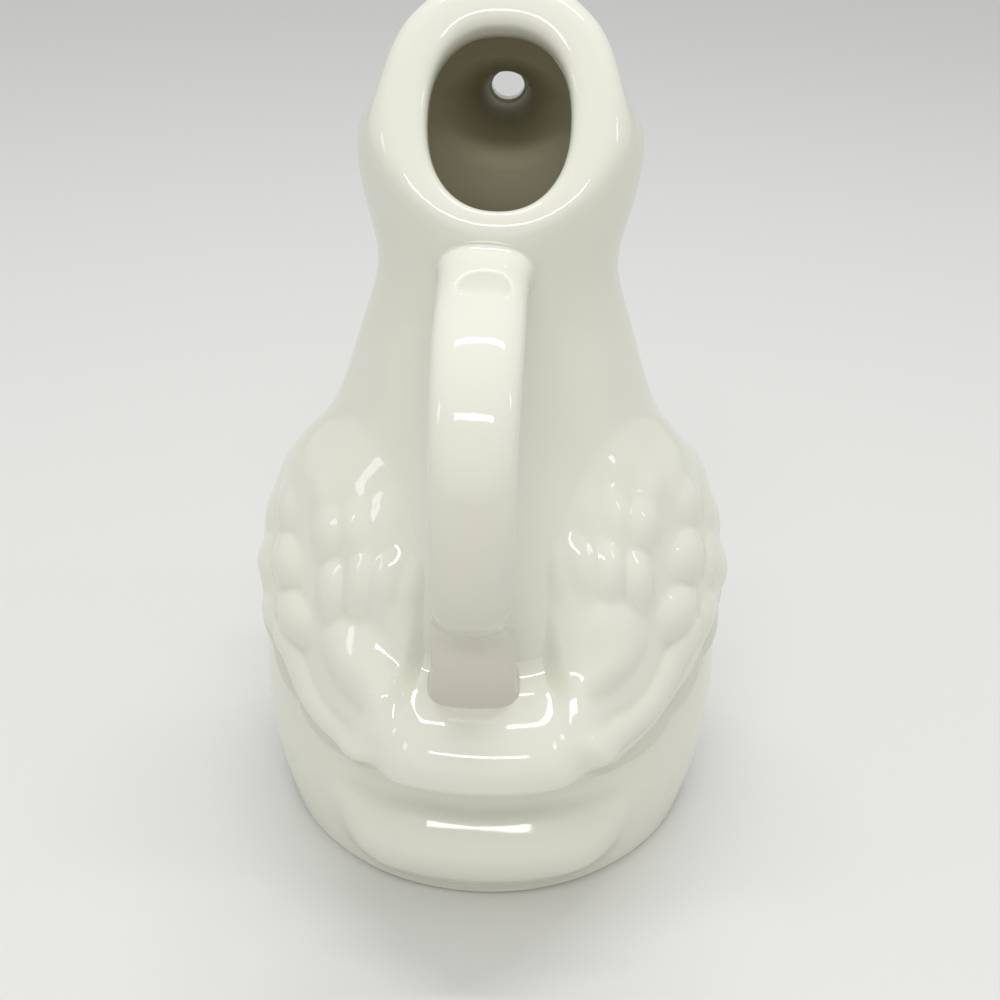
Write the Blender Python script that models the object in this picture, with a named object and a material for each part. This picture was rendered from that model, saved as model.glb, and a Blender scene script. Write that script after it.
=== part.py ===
"""Duck creamer: a hollow porcelain jug in the form of a sitting duck, its pieces luted together.

Lengths are in millimetres until a mesh is made. +Z is up, the bill points along +Y, and y = 0 is
the middle of the foot until the pieces are set on the origin at the end.
"""

import math

import bmesh
import bpy
import numpy as np

MM = 0.001

# Slip joint between two pieces, wall and floor of the casting
SEAM = 0.3
WALL = 3.6
FLOOR = 5.0
# Rounding between floor and wall inside: height over the floor, and how far it stands in
FLOOR_ROUND = ((0.0, 4.0), (1.4, 1.2))
FLOOR_CLEAR = 2.0
ROOF_CLEAR = 0.8

# Cross sections of the duck from foot to crown: height, half width, front, back
SECTIONS = (
    (0.0, 38.2, 38.2, -38.8),
    (16.0, 41.6, 43.0, -41.4),
    (32.0, 41.6, 45.6, -41.4),
    (48.0, 39.2, 45.2, -39.2),
    (62.0, 34.4, 41.0, -34.2),
    (76.0, 27.6, 34.2, -27.4),
    (89.0, 23.2, 28.8, -22.6),
    (101.0, 19.7, 25.2, -19.4),
    (111.0, 21.2, 25.6, -19.8),
    (120.0, 22.4, 27.4, -20.8),
    (129.0, 20.1, 28.0, -19.8),
    (138.0, 15.9, 24.4, -13.0),
    (144.0, 9.2, 17.6, -4.4),
    (146.0, 0.0, 7.0, 7.0),
)
SECTION_STEPS = 600
# Steps in angle and height over which the slope of the skin is taken
SLOPE_STEP = (0.01, 0.4)
SKIN_RINGS = 38
SKIN_SEGMENTS = 48
CAVITY_RINGS = 26
CAVITY_SEGMENTS = 36

# Foot ring: rounded outer edge, and the glaze-free recess inside it
FOOT_EDGE = 1.2
FOOT_RECESS_RADIUS = 31.0
FOOT_RECESS = 1.5
FOOT_SEGMENTS = 48

# Rounded swelling under the tail: how far it stands out, its heights and its angles from the back
RUMP_SWELL = 4.8
RUMP_RISE = (1.0, 10.0)
RUMP_FALL = (15.6, 21.6)
RUMP_SIDE = (21.0, 41.0)
RUMP_ROWS = (8.0, 14.0, 17.4, 18.8, 20.2, 21.8, 24.0)

# Fill opening in the back of the head
MOUTH_CENTRE = (0.0, -8.4, 128.2)
MOUTH_TILT = math.radians(36.5)
MOUTH_HALF_WIDTH = 10.8
MOUTH_HALF_HEIGHT = 14.4
MOUTH_SQUARE = 2.3
MOUTH_LIP = 4.2
MOUTH_SHOULDER = 9.0
MOUTH_DEPTH = 14.0
MOUTH_FLARE = 1.4
MOUTH_SEGMENTS = 36
LIP_STEPS = 6

# Bill and handle: y, z, half width, half thickness along the middle line. A tip is how far
# the rounded end reaches, and how much it takes off the half width and the half thickness
BILL = (
    (16.0, 123.0, 13.4, 11.0),
    (26.0, 122.2, 11.4, 8.4),
    (34.0, 120.6, 10.2, 5.9),
    (42.0, 119.8, 10.9, 5.0),
)
BILL_TIP = (6.0, 6.0, 1.5)
TIP_STEPS = 5
# For each of these: sections along it, points round a section, and how square the section is
BILL_MESH = (11, 26, 2.3)
BORE_MESH = (14, 24, 2.0)
HANDLE_MESH = (34, 18, 2.5)
BILL_BORE = (
    (14.0, 122.8, 9.4, 7.2),
    (24.0, 122.2, 8.0, 5.8),
    (34.0, 120.8, 5.4, 3.8),
    (41.0, 119.7, 3.3, 3.2),
    (45.0, 119.6, 3.1, 3.1),
    (52.0, 119.6, 3.1, 3.1),
)
HANDLE = (
    (-13.0, 106.2, 7.4, 4.2),
    (-25.0, 106.6, 6.7, 3.7),
    (-39.0, 104.6, 6.5, 3.5),
    (-49.6, 97.2, 6.2, 3.5),
    (-54.6, 86.6, 6.0, 3.5),
    (-54.6, 75.6, 5.9, 3.5),
    (-50.6, 67.2, 5.9, 3.5),
    (-43.8, 60.8, 6.1, 3.6),
    (-40.8, 52.6, 6.5, 3.9),
    (-39.8, 42.0, 7.2, 4.2),
)

# Tail: y and z down its middle line, from where it leaves the skin to where it comes back to it
TAIL = (
    (-36.2, 57.0),
    (-38.4, 52.0),
    (-42.2, 47.4),
    (-46.4, 45.2),
    (-50.2, 43.4),
    (-53.4, 41.0),
    (-54.8, 38.4),
    (-54.4, 36.0),
    (-51.6, 34.2),
    (-47.4, 32.4),
    (-44.0, 30.0),
    (-41.9, 27.0),
)
TAIL_HEIGHTS = (57.0, 27.0)
# Down the tail: the angle where its side is cut, and those between which it gets lower
TAIL_BORDER = (
    (9.0, 6.0, 14.0),
    (17.5, 11.0, 22.0),
    (23.0, 17.0, 29.0),
    (24.0, 18.0, 30.0),
    (24.0, 18.0, 30.0),
)
TAIL_EDGE = 0.8
TAIL_ROWS = 16
TAIL_COLUMNS = 14
# The handle's foot is cut off this far above and behind the tail
TAIL_CLEAR = np.array([0.0, -0.1, 0.33])
TAIL_SUNK = 1.5

# Wing: its upper and lower edge on the skin, as angle from the back in degrees and height
WING_UPPER = (
    (113.0, 62.0),
    (100.0, 71.0),
    (82.0, 76.0),
    (64.0, 77.5),
    (47.0, 76.5),
    (34.0, 71.5),
    (24.0, 63.0),
    (18.0, 55.0),
    (20.8, 48.0),
    (24.8, 41.5),
)
WING_LOWER = (
    (115.0, 57.0),
    (106.0, 47.0),
    (92.0, 41.8),
    (77.0, 39.0),
    (63.0, 35.8),
    (52.0, 32.2),
    (43.0, 29.4),
    (36.0, 27.6),
    (30.0, 26.8),
    (24.8, 26.8),
)
WING_STEPS = 31
WING_ROWS = 16
# Thickness along the back, in the middle, on the flight feathers and at their tips, and the share
# of the wing's height that the coverts take
WING_BACK = 0.6
WING_PLUMP = 2.5
WING_FLIGHT = 2.2
WING_EDGE = 1.4
WING_COVERTS = 0.8
WING_FULL = 0.35
WING_ENDS = 6

# Covert feathers: angle and height of each rounded lobe, its radius and how far it stands up
LOBES = (
    (81.0, 68.0, 4.6, 0.7),
    (69.5, 62.6, 4.6, 1.1),
    (59.5, 56.0, 4.6, 1.3),
    (51.0, 49.4, 4.6, 1.4),
    (92.0, 63.0, 4.6, 0.7),
    (80.5, 57.4, 4.6, 1.1),
    (70.5, 51.0, 4.6, 1.2),
    (92.0, 52.0, 4.6, 1.0),
    (81.5, 46.4, 4.6, 1.0),
    (45.0, 64.0, 4.4, 0.8),
    (39.0, 57.6, 4.4, 0.9),
    (52.5, 69.0, 4.4, 0.6),
    (30.5, 50.0, 6.4, 1.4),
)
# Long flight feather that sweeps round below them towards the tail
SWEEP = ((53.0, 43.6), (46.5, 41.0), (40.0, 37.8), (33.0, 36.6), (27.5, 37.2))
SWEEP_RADIUS = 3.2
SWEEP_HEIGHT = 1.2
SWEEP_STEPS = 16

# Eyes, a low bead on each side of the head
EYE_ANGLE = math.radians(122)
EYE_HEIGHT = 127.5
EYE_RADIUS = 2.2
EYE_SUNK = 1.3
EYE_MESH = (14, 8)

# From the middle of the foot to midway between the handle's back and the tip of the bill
ORIGIN_SHIFT = 5.16

GLAZE = (0.82, 0.82, 0.76, 1.0)
GLOSS = 0.08


def curve(rows, count, after=None):
    """Even steps along a Catmull-Rom curve through the rows."""
    rows = np.array(rows, float)
    first = 2 * rows[0] - rows[1]
    last = 2 * rows[-1] - rows[-2] if after is None else np.array(after, float)
    knots = np.vstack([first, rows, last])
    place = np.linspace(0, len(rows) - 1, count)
    span = np.minimum(place.astype(int), len(rows) - 2)
    u = (place - span)[:, None]
    a, b, c, d = (knots[span + k] for k in range(4))
    return 0.5 * (2 * b + (c - a) * u + (2 * a - 5 * b + 4 * c - d) * u**2 + (3 * b - a - 3 * c + d) * u**3)


def step(low, high, value):
    """0 below low, 1 above high, smooth between."""
    u = np.clip((value - low) / (high - low), 0, 1)
    return u * u * (3 - 2 * u)


# The crown closes smoothly because the curve goes on to the mirror image of the row before it
CROWN = SECTIONS[-2]
BEYOND = (CROWN[0], -CROWN[1], CROWN[3], CROWN[2])
SKIN = curve(SECTIONS, SECTION_STEPS, BEYOND)


def skin(angle, row, grow, swell):
    """A point of the skin at an angle from the back, on a cross section made wider by grow."""
    z, half, front, back = row
    out = grow
    if swell:
        side = 1 - step(*RUMP_SIDE, abs(math.degrees(math.remainder(angle, math.tau))))
        out = out + RUMP_SWELL * side * step(*RUMP_RISE, z) * (1 - step(*RUMP_FALL, z))
    middle = (front + back) / 2
    long = (front - back) / 2
    return np.array([(half + out) * math.sin(angle), middle - (long + out) * math.cos(angle), z])


def flattened(point, depth):
    """Pressed in behind the plane of the fill opening, with a rounded edge."""
    normal = np.array([0, -math.cos(MOUTH_TILT), math.sin(MOUTH_TILT)])
    height = float((point - MOUTH_CENTRE) @ normal) + depth
    over = max(MOUTH_SHOULDER - abs(height), 0) / MOUTH_SHOULDER
    pressed = min(height, 0) - over * over * MOUTH_SHOULDER / 4
    return point + (pressed - height) * normal


def ring_angles(segments):
    return [math.tau * k / segments for k in range(segments)]


def skin_rings(rows, segments, grow, swell, depth):
    rings = []
    for row in rows:
        if row[1] + grow <= 0 or (row[2] - row[3]) / 2 + grow <= 0:
            continue
        rings.append([flattened(skin(a, row, grow, swell), depth) for a in ring_angles(segments)])
    return rings


def material(name):
    made = bpy.data.materials.new(name)
    made.use_nodes = True
    shader = made.node_tree.nodes["Principled BSDF"]
    shader.inputs["Base Color"].default_value = GLAZE
    shader.inputs["Roughness"].default_value = GLOSS
    return made


def make(name, points, faces):
    """An object from points in millimetres, its faces turned outwards."""
    mesh = bpy.data.meshes.new(name)
    mesh.from_pydata([tuple(float(c) * MM for c in p) for p in points], [], faces)
    shape = bmesh.new()
    shape.from_mesh(mesh)
    bmesh.ops.recalc_face_normals(shape, faces=shape.faces)
    shape.to_mesh(mesh)
    shape.free()
    made = bpy.data.objects.new(name, mesh)
    bpy.context.scene.collection.objects.link(made)
    return made


def loft(name, rings, pole=None):
    """A closed solid through the rings, ended by a pole or by its last ring filled in."""
    points = [p for ring in rings for p in ring]
    count = len(rings[0])
    faces = []
    for r in range(len(rings) - 1):
        for k in range(count):
            n = (k + 1) % count
            faces.append((r * count + k, r * count + n, (r + 1) * count + n, (r + 1) * count + k))
    faces.append(tuple(range(count))[::-1])
    top = (len(rings) - 1) * count
    if pole is None:
        faces.append(tuple(top + k for k in range(count)))
    else:
        points.append(pole)
        faces.extend((top + k, top + (k + 1) % count, len(points) - 1) for k in range(count))
    return make(name, points, faces)


def rounded(turn, square):
    """Cosine and sine bent towards a rounded rectangle."""
    c, s = math.cos(turn), math.sin(turn)
    return math.copysign(abs(c) ** (2 / square), c), math.copysign(abs(s) ** (2 / square), s)


def strap_rings(stations, count, segments, square, tip=None):
    """Rounded cross sections along a middle line in the plane x = 0, with a rounded far end."""
    line = curve(stations, count)
    along = np.gradient(line[:, :2], axis=0)
    along /= np.linalg.norm(along, axis=1)[:, None]
    sections = [(y, z, w, t, a) for (y, z, w, t), a in zip(line, along)]
    y, z, w, t, a = sections[-1]
    for k in range(1, TIP_STEPS + 1 if tip else 1):
        bend = math.pi / 2 * k / TIP_STEPS
        ahead = tip[0] * math.sin(bend)
        less = 1 - math.cos(bend)
        sections.append((y + a[0] * ahead, z + a[1] * ahead, w - less * tip[1], t - less * tip[2], a))
    rings = []
    for y, z, w, t, a in sections:
        ring = []
        for turn in ring_angles(segments):
            wide, thick = rounded(turn, square)
            ring.append(np.array([w * wide, y - a[1] * t * thick, z + a[0] * t * thick]))
        rings.append(ring)
    return rings


def boolean(target, operation, other):
    cut = target.modifiers.new(operation.title() + " " + other.name, "BOOLEAN")
    cut.operation = operation
    cut.solver = "EXACT"
    cut.object = other
    other.hide_render = True
    other.display_type = "WIRE"


def cylinder_rings(radius, low, high, segments):
    circle = [(radius * math.sin(a), -radius * math.cos(a)) for a in ring_angles(segments)]
    return [[np.array([x, y, z]) for x, y in circle] for z in (low, high)]


def mouth_rings():
    """The fill opening's cutter: an oval shaft that widens into a quarter round at the lip."""
    normal = np.array([0, -math.cos(MOUTH_TILT), math.sin(MOUTH_TILT)])
    up = np.array([0, math.sin(MOUTH_TILT), math.cos(MOUTH_TILT)])
    levels = [(-MOUTH_DEPTH, 0.0)]
    for k in range(LIP_STEPS):
        bend = math.pi / 2 * k / LIP_STEPS
        levels.append((MOUTH_LIP * (math.sin(bend) - 1), MOUTH_LIP * (1 - math.cos(bend))))
    levels.append((MOUTH_LIP, MOUTH_LIP * MOUTH_FLARE))
    rings = []
    for height, wider in levels:
        ring = []
        for a in ring_angles(MOUTH_SEGMENTS):
            side, rise = rounded(a, MOUTH_SQUARE)
            across = np.array([(MOUTH_HALF_WIDTH + wider) * side, 0, 0])
            ring.append(MOUTH_CENTRE + normal * height + across + up * (MOUTH_HALF_HEIGHT + wider) * rise)
        rings.append(ring)
    return rings


def skin_at(angle, z):
    """Skin point and outward direction at an angle from the back and a height."""
    def point(a, height):
        row = [np.interp(height, SKIN[:, 0], SKIN[:, k]) for k in range(4)]
        return skin(a, row, 0, True)
    turn, rise = SLOPE_STEP
    across = point(angle + turn, z) - point(angle - turn, z)
    upward = point(angle, z + rise) - point(angle, z - rise)
    out = np.cross(across, upward)
    return point(angle, z), out / np.linalg.norm(out)


def lobe(angle, z, place, radius):
    """Rounded bump, 1 in the middle and 0 at its radius."""
    half = np.interp(z, SKIN[:, 0], SKIN[:, 1])
    across = math.radians(angle - place[0]) * half
    slope = (np.interp(z + 1, SKIN[:, 0], SKIN[:, 1]) - np.interp(z - 1, SKIN[:, 0], SKIN[:, 1])) / 2
    along = (z - place[1]) * math.hypot(1, slope)
    return max(1 - (across**2 + along**2) / radius**2, 0)


def feathers(angle, z):
    """Height of the covert lobes and of the long feather at a place on the skin."""
    heights = [high * lobe(angle, z, (a, level), radius) for a, level, radius, high in LOBES]
    sweep = [SWEEP_HEIGHT * lobe(angle, z, place, SWEEP_RADIUS) for place in curve(SWEEP, SWEEP_STEPS)]
    return max(heights + sweep)


def wing_thickness(angle, z, s, t):
    """Thin along the back, full in the middle, and stepped down to the flight feathers below."""
    ends = 1 - abs(2 * s - 1) ** WING_ENDS
    if t > WING_COVERTS:
        return WING_EDGE + (WING_FLIGHT - WING_EDGE) * ends
    full = WING_BACK + (WING_PLUMP - WING_BACK) * step(0.0, WING_FULL, t) * ends
    return full + feathers(angle, z)


def slab(name, inner, outer, wide):
    """A closed piece between two grids of points, wide points to a row."""
    rows = len(inner) // wide
    back = len(inner)
    faces = []
    for i in range(rows - 1):
        for j in range(wide - 1):
            quad = (i * wide + j, i * wide + j + 1, (i + 1) * wide + j + 1, (i + 1) * wide + j)
            faces.append(quad)
            faces.append(tuple(back + k for k in quad[::-1]))
    edge = list(range(wide))
    edge += [i * wide + wide - 1 for i in range(1, rows)]
    edge += [(rows - 1) * wide + j for j in range(wide - 2, -1, -1)]
    edge += [i * wide for i in range(rows - 2, 0, -1)]
    for k, here in enumerate(edge):
        there = edge[(k + 1) % len(edge)]
        faces.append((here, there, back + there, back + here))
    return make(name, inner + outer, faces)


def wing(name, side):
    upper = curve(WING_UPPER, WING_STEPS + 1)
    lower = curve(WING_LOWER, WING_STEPS + 1)
    mirror = np.array([side, 1, 1])
    inner, outer = [], []
    for i in range(WING_STEPS + 1):
        for j in range(WING_ROWS + 1):
            t = j / WING_ROWS
            angle, z = upper[i] * (1 - t) + lower[i] * t
            point, out = skin_at(math.radians(angle), z)
            inner.append((point + out * SEAM) * mirror)
            thick = wing_thickness(angle, z, i / WING_STEPS, t)
            outer.append((point + out * (SEAM + thick)) * mirror)
    return slab(name, inner, outer, WING_ROWS + 1)


def tail_piece(name, sunk, clear):
    """The tail's pillow on the skin, its inner side sunk and its outer side moved by clear."""
    line = curve(TAIL, TAIL_ROWS + 1)
    border = curve(TAIL_BORDER, TAIL_ROWS + 1)
    heights = np.linspace(*TAIL_HEIGHTS, TAIL_ROWS + 1)
    inner, outer = [], []
    for (y, z), (edge, low, high), level in zip(line, border, heights):
        middle, _ = skin_at(0.0, level)
        lift = np.array([0, y - middle[1], z - middle[2]])
        for j in range(TAIL_COLUMNS + 1):
            angle = edge * (2 * j / TAIL_COLUMNS - 1)
            point, out = skin_at(math.radians(angle), level)
            inner.append(point + out * (SEAM - sunk))
            full = lift * (1 - step(low, high, abs(angle)))
            outer.append(point + out * (SEAM + TAIL_EDGE) + full + clear)
    return slab(name, inner, outer, TAIL_COLUMNS + 1)


for old in list(bpy.data.objects):
    bpy.data.objects.remove(old)

# Body: the outer skin, then everything that is cut out of it
rows = SKIN[np.linspace(0, SECTION_STEPS - 1, SKIN_RINGS).astype(int)]
foot = (0.0, *(v - math.copysign(FOOT_EDGE, v) for v in rows[0][1:]))
lifted = (FOOT_EDGE, *rows[0][1:])
extra = [[np.interp(z, SKIN[:, 0], SKIN[:, k]) for k in range(4)] for z in RUMP_ROWS]
outer_rows = [foot, lifted, *sorted([*rows[1:-1], *extra], key=lambda row: row[0])]
crown = np.array([0, rows[-1][2], rows[-1][0]])
body = loft("body_shell", skin_rings(outer_rows, SKIN_SEGMENTS, 0, True, 0), flattened(crown, 0))

inner_rows = SKIN[np.linspace(0, SECTION_STEPS - 1, CAVITY_RINGS).astype(int)]
inner_rows = [row for row in inner_rows if row[0] > FLOOR + FLOOR_CLEAR]
roof = np.array([0, rows[-1][2], rows[-1][0] - WALL])
floor_rows = []
for lift, inset in FLOOR_ROUND:
    floor_rows.append((FLOOR + lift, *(v - math.copysign(inset, v) for v in inner_rows[0][1:])))
lining = skin_rings([*floor_rows, *inner_rows], CAVITY_SEGMENTS, -WALL, False, WALL)
lining = [ring for ring in lining if max(p[2] for p in ring) < roof[2] - ROOF_CLEAR]
cavity = loft("cut_cavity", lining, flattened(roof, WALL))
mouth = loft("cut_mouth", mouth_rings())
bore = loft("cut_bore", strap_rings(BILL_BORE, *BORE_MESH))
recess = loft("cut_recess", cylinder_rings(FOOT_RECESS_RADIUS, -FOOT_RECESS, FOOT_RECESS, FOOT_SEGMENTS))
for cutter in (cavity, mouth, bore, recess):
    boolean(body, "DIFFERENCE", cutter)

# Eyes, joined to the head
for side in (-1, 1):
    bead = bmesh.new()
    bmesh.ops.create_uvsphere(bead, u_segments=EYE_MESH[0], v_segments=EYE_MESH[1], radius=EYE_RADIUS * MM)
    mesh = bpy.data.meshes.new("eye_bead")
    bead.to_mesh(mesh)
    bead.free()
    eye = bpy.data.objects.new("eye_bead", mesh)
    place, out = skin_at(EYE_ANGLE * side, EYE_HEIGHT)
    eye.location = (place - out * EYE_SUNK) * MM
    bpy.context.scene.collection.objects.link(eye)
    boolean(body, "UNION", eye)

# Skin grown by the seam, which trims the pieces that are put on
trim = loft("cut_trim", skin_rings(outer_rows, SKIN_SEGMENTS, SEAM, True, -SEAM), crown + [0, 0, SEAM])

bill = loft("bill_spout", strap_rings(BILL, *BILL_MESH, BILL_TIP))
boolean(bill, "DIFFERENCE", trim)
boolean(bill, "DIFFERENCE", bore)

tail = tail_piece("tail", 0.0, 0.0 * TAIL_CLEAR)
tail_trim = tail_piece("cut_tail_trim", TAIL_SUNK, TAIL_CLEAR)

handle = loft("handle", strap_rings(HANDLE, *HANDLE_MESH))
boolean(handle, "DIFFERENCE", trim)
boolean(handle, "DIFFERENCE", tail_trim)

wings = [wing("wing_left", -1), wing("wing_right", 1)]

# Everything stands on the origin, midway between the handle's back and the tip of the bill
pieces = [body, bill, handle, tail, *wings]
stand = bpy.data.objects.new("creamer", None)
bpy.context.scene.collection.objects.link(stand)
stand.location.y = ORIGIN_SHIFT * MM
for made in bpy.data.objects:
    if made is not stand:
        made.parent = stand
for piece in pieces:
    piece.data.materials.append(material(piece.name + "_glaze"))
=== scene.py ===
"""Duck creamer of white glazed porcelain, seen from behind and above.

The shapes are worked out in millimetres with y = 0 in the middle of the foot, and go to metres in
the part's own frame when a mesh is made. Angles on the duck are counted from the middle of its back.
"""

import math

import bmesh
import bpy
import numpy as np
from mathutils import Matrix


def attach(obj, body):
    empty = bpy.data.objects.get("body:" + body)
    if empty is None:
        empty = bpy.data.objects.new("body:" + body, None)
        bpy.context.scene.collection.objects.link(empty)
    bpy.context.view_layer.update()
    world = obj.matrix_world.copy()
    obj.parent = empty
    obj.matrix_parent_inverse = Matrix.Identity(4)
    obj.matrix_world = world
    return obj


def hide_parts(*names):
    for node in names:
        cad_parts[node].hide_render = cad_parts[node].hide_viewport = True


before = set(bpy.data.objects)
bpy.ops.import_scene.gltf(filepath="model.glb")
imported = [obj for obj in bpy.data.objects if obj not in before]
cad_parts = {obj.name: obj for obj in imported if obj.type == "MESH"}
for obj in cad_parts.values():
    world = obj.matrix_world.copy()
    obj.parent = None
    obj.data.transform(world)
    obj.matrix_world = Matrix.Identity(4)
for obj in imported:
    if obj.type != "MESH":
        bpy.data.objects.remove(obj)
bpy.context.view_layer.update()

MM = 0.001
ORIGIN_SHIFT = 5.16
TAU = math.tau
QUARTER = math.pi / 2
AXIS_X = np.array([1.0, 0.0, 0.0])
AXIS_Y = np.array([0.0, 1.0, 0.0])
AXIS_Z = np.array([0.0, 0.0, 1.0])

# Small steps that directions are measured over: a turn and a rise on the skin, a distance in space
# and a place along a strap
PROBE_TURN = 0.005
PROBE_RISE = 0.2
PROBE = 0.05
PROBE_PLACE = 0.01
# Tries that bring a point onto a surface, and samples, reach and halvings of a ray that looks for one
SETTLE_TRIES = 8
RAY_SAMPLES = 60
RAY_REACH = 40.0
HALVINGS = 46
# Least half width of a section and least square of a slope, so that nothing is divided by 0
LEAST_HALF = 1e-3
LEAST_SLOPE = 1e-6
# Edges sharper than this aren't shaded smooth
SHARP = math.radians(48)

# Skin of the duck from foot to crown: height, half width, front, back
SECTIONS = (
    (0.0, 38.2, 38.2, -38.8),
    (16.0, 41.6, 43.0, -41.4),
    (32.0, 41.6, 45.6, -41.4),
    (48.0, 39.2, 45.2, -39.2),
    (62.0, 34.4, 41.0, -34.2),
    (76.0, 27.6, 34.2, -27.4),
    (89.0, 23.2, 28.8, -22.6),
    (101.0, 19.9, 25.2, -19.4),
    (111.0, 21.4, 25.6, -19.8),
    (120.0, 22.8, 27.4, -20.8),
    (125.0, 21.7, 28.1, -20.6),
    (129.0, 19.4, 28.0, -19.8),
    (133.5, 17.2, 26.6, -17.2),
    (137.2, 14.4, 24.6, -12.6),
    (141.2, 8.8, 20.4, -4.2),
    (143.4, 0.0, 9.0, 9.0),
)
# Sections that are mirrored beyond the crown, and points that the skin and the roll are read at
MIRRORED = 4
SKIN_SAMPLES = 6000
ROLL_SAMPLES = 600
ROUND = 264
TORSO_ROWS = 120

# Inside: wall, floor and the round corner between them, and the rings of the floor as shares
WALL = 3.6
FLOOR = 5.0
FLOOR_CORNER = 6.0
FLOOR_RINGS = (0.8, 0.55, 0.3, 0.1)
LINING_ROWS = 36
CORNER_ROWS = 10

# Foot: its rounded edge, and the recess under it as radius and height
FOOT_EDGE = 1.2
FOOT_ROWS = 8
RECESS = 1.5
RECESS_PROFILE = ((6, RECESS), (12, RECESS), (18, RECESS), (24, RECESS), (28, RECESS), (29.8, 1.46),
                  (30.6, 1.3), (31.2, 0.9), (31.6, 0.4), (32.1, 0.08), (32.8, 0.0))

# Roll under the tail: height and how far it stands out, and the angles over which it ends
RUMP = ((0.0, 0.0), (2.5, 0.5), (5.0, 1.9), (8.0, 4.0), (10.5, 5.1), (13.5, 5.5), (16.0, 5.0),
        (18.0, 3.7), (19.6, 1.9), (21.0, 0.5), (22.6, 0.0), (24.0, 0.0))
RUMP_SIDE = (17.0, 45.0)

# Fill opening in the back of the head: middle, slant, half width and half height, how square its
# outline is, and how much more so at the top than in the middle
MOUTH = np.array([0.0, -8.64, 127.88])
MOUTH_TILT = math.radians(36.5)
MOUTH_OUT = np.array([0.0, -math.cos(MOUTH_TILT), math.sin(MOUTH_TILT)])
MOUTH_UP = np.array([0.0, math.sin(MOUTH_TILT), math.cos(MOUTH_TILT)])
MOUTH_WIDE = 10.8
MOUTH_HIGH = 14.4
MOUTH_SQUARE = (2.28, 0.05)
# The lip's width, how much narrower it is at the nape, its depth, and how boxy its quarter round is
MOUTH_LIP = 4.4
LIP_NAPE = 2.0
LIP_DEEP = 3.0
LIP_SQUARE = 3.4
LIP_ROWS = 19
# Shares of their length by which the shoulder runs on from the head and meets the lip, more so at the
# sides, and by which the throat runs on from the lip and meets the lining
SHOULDER_PULL = 0.36
LIP_PULL = (0.34, 0.12)
SHOULDER_ROWS = 18
THROAT_PULL = 0.4
THROAT_ROWS = 14

# The head is ringed by planes that turn about a line behind the nape, from level to the opening. A
# ring is looked for within so many times its own size.
NECK = 105.0
HINGE = np.array([0.0, -25.6, NECK])
FAN_END = QUARTER - MOUTH_TILT
FAN_SKIN = math.radians(40)
FAN_LINING = math.radians(32)
FAN_STEPS = 96
FAN_REACH = 4.0

# Eyes: place, radius, height and dome of the bead, and the groove round it as place and width in radii
# and depth
EYE_ANGLE = math.radians(122)
EYE_LEVEL = 127.5
EYE_RADIUS = 2.1
EYE_BEAD = 0.95
EYE_DOME = 0.7
EYE_GROOVE = (1.2, 0.24, 0.2)

# Fillets where a strap lands on a surface: pull of the curve as a share, lift off the surface, and how
# far the last row hides below the surface and beyond the edge
LANDING_PULL = 0.6
LANDING_LIFT = 0.02
HIDE_DEEP = 0.5
HIDE_OUT = 0.05

# Bill: y, z, half width, half thickness along the middle line, and the rounded tip as length and how
# much less wide and thick it ends
BILL = (
    (16.0, 123.0, 13.4, 11.0),
    (26.0, 122.2, 11.4, 8.4),
    (34.0, 120.8, 10.2, 5.9),
    (42.0, 120.1, 10.9, 5.0),
)
BILL_TIP = (6.0, 6.2, 1.4)
BILL_SQUARE = 2.3
BILL_ROUND = 240
# The stretch of those stations outside the head
BILL_SHOWN = (1.9, 3.0)
BILL_ROWS = 44
BILL_TIP_ROWS = 16
# Fillet at the bill's root, and how much larger it is under the chin
BILL_ROOT = (3.6, 5.4)
ROOT_ROWS = 18
# Line between its halves as turn, width and depth. It begins over these stations, and ends over these
# shares of the tip.
BILL_LINE = (-0.30, 0.07, 0.55)
BILL_LINE_STARTS = (1.93, 2.2)
BILL_LINE_ENDS = (0.25, 0.9)
# Nostrils as station, share of the half width, half length, half width and depth
NOSTRIL = (2.05, 0.34, 1.5, 0.7, 0.6)
# Bore: half width and half height, level, and where the funnel behind it starts
BORE = (3.0, 2.65)
BORE_LEVEL = 120.1
BORE_START = 45.3
BORE_ROWS = 8
# Shoulder round the hole as width and depth, rise of the funnel behind it, and its flare inside the
# head: beside, above and below
BORE_SHOULDER = (0.5, 0.3)
BORE_RISE = 0.09
BORE_FLARE = (10.5, 5.0, 8.5)
FUNNEL_ROWS = 36
FUNNEL_PULL = 0.55
FUNNEL_LIFT = 0.03
# Passage from the head into the bill: how far its edges hide behind the bill, inside and outside, and
# how far the cut reaches past both
PASSAGE_INSIDE = 0.5
PASSAGE_OUTSIDE = 0.9
PASSAGE_PAST = 6.0

# Handle: y, z, half width, half thickness along the middle line
HANDLE = (
    (-13.0, 106.2, 7.4, 4.2),
    (-25.0, 106.6, 6.7, 3.7),
    (-39.0, 104.6, 6.5, 3.5),
    (-49.6, 97.2, 6.2, 3.5),
    (-54.5, 86.6, 6.0, 3.5),
    (-54.5, 75.6, 5.9, 3.5),
    (-50.6, 67.2, 5.9, 3.5),
    (-44.5, 61.3, 6.3, 3.6),
    (-42.9, 53.0, 6.5, 3.9),
    (-42.6, 42.0, 6.6, 4.2),
)
# The strap sits a little to the left; its section is rounder at the lower bend and squarer at the foot
HANDLE_ASIDE = np.array([-1.4, 0.0, 0.0])
HANDLE_SQUARE = ((0.0, 2.5), (4.4, 2.5), (5.6, 2.05), (6.5, 2.1), (7.4, 3.0))
HANDLE_ENDS = (0.95, 7.4)
HANDLE_ROUND = 84
HANDLE_ROWS = 260
# Fillets at the nape and at the foot
HANDLE_FILLETS = (1.6, 0.9)
HANDLE_FILLET_ROWS = (20, 18)

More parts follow.
